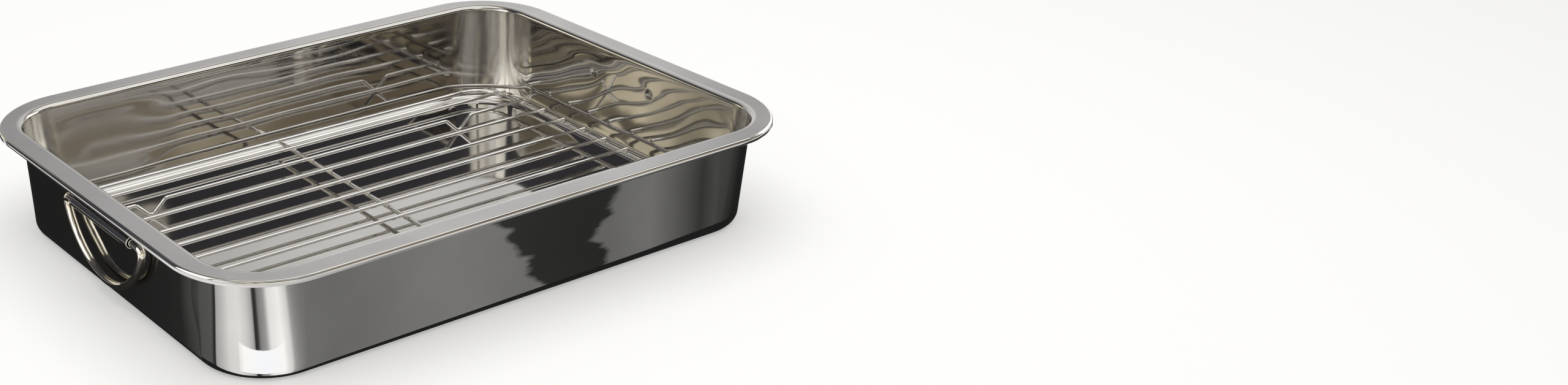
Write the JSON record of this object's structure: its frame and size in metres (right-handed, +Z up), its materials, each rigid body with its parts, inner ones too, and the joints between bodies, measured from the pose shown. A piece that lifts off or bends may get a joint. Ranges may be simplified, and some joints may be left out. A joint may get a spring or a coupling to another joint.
{
  "type": "roasting pan",
  "caption": "Rectangular stainless roasting pan with rounded corners, a flat turned-down rim, folding wire bail handles on rolled hinge brackets and a lift-out wire rack with bent feet.",
  "frame": {"origin": "middle of the pan's underside, on the surface it stands on", "axes": "+X along the length, towards the right-hand handle; +Y across the width; +Z up"},
  "size_m": [0.36, 0.272, 0.06],
  "materials": {
    "pan_steel": "mirror-polished stainless sheet with a satin rim",
    "bracket_steel": "polished stainless sheet",
    "handle_wire": "polished steel wire",
    "rack_wire": "bright polished steel wire"
  },
  "bodies": {
    "pan": {"pan_body": "pan_steel", "hinge_bracket_left": "bracket_steel", "hinge_bracket_right": "bracket_steel"},
    "handle_left": {"handle_left": "handle_wire"},
    "handle_right": {"handle_right": "handle_wire"},
    "rack": {"rack_frame": "rack_wire", "rack_cross_bar": "rack_wire", "rack_bar_1": "rack_wire", "rack_bar_2": "rack_wire", "rack_bar_3": "rack_wire", "rack_bar_4": "rack_wire", "rack_bar_5": "rack_wire", "rack_bar_6": "rack_wire", "rack_bar_7": "rack_wire", "rack_bar_8": "rack_wire", "rack_bar_9": "rack_wire", "rack_bar_10": "rack_wire", "rack_bar_11": "rack_wire"}
  },
  "joints": [
    {"name": "handle_left_swing", "type": "hinge", "parent": "pan", "child": "handle_left", "pos_m": [-0.17015, 0, 0.0442], "axis": [0, 1, 0], "range_deg": [-3, 132]},
    {"name": "handle_right_swing", "type": "hinge", "parent": "pan", "child": "handle_right", "pos_m": [0.17015, 0, 0.0442], "axis": [0, -1, 0], "range_deg": [-3, 132]},
    {"name": "rack_lift", "type": "slide", "parent": "pan", "child": "rack", "axis": [0, 0, 1], "range_m": [0, 0.075]}
  ]
}
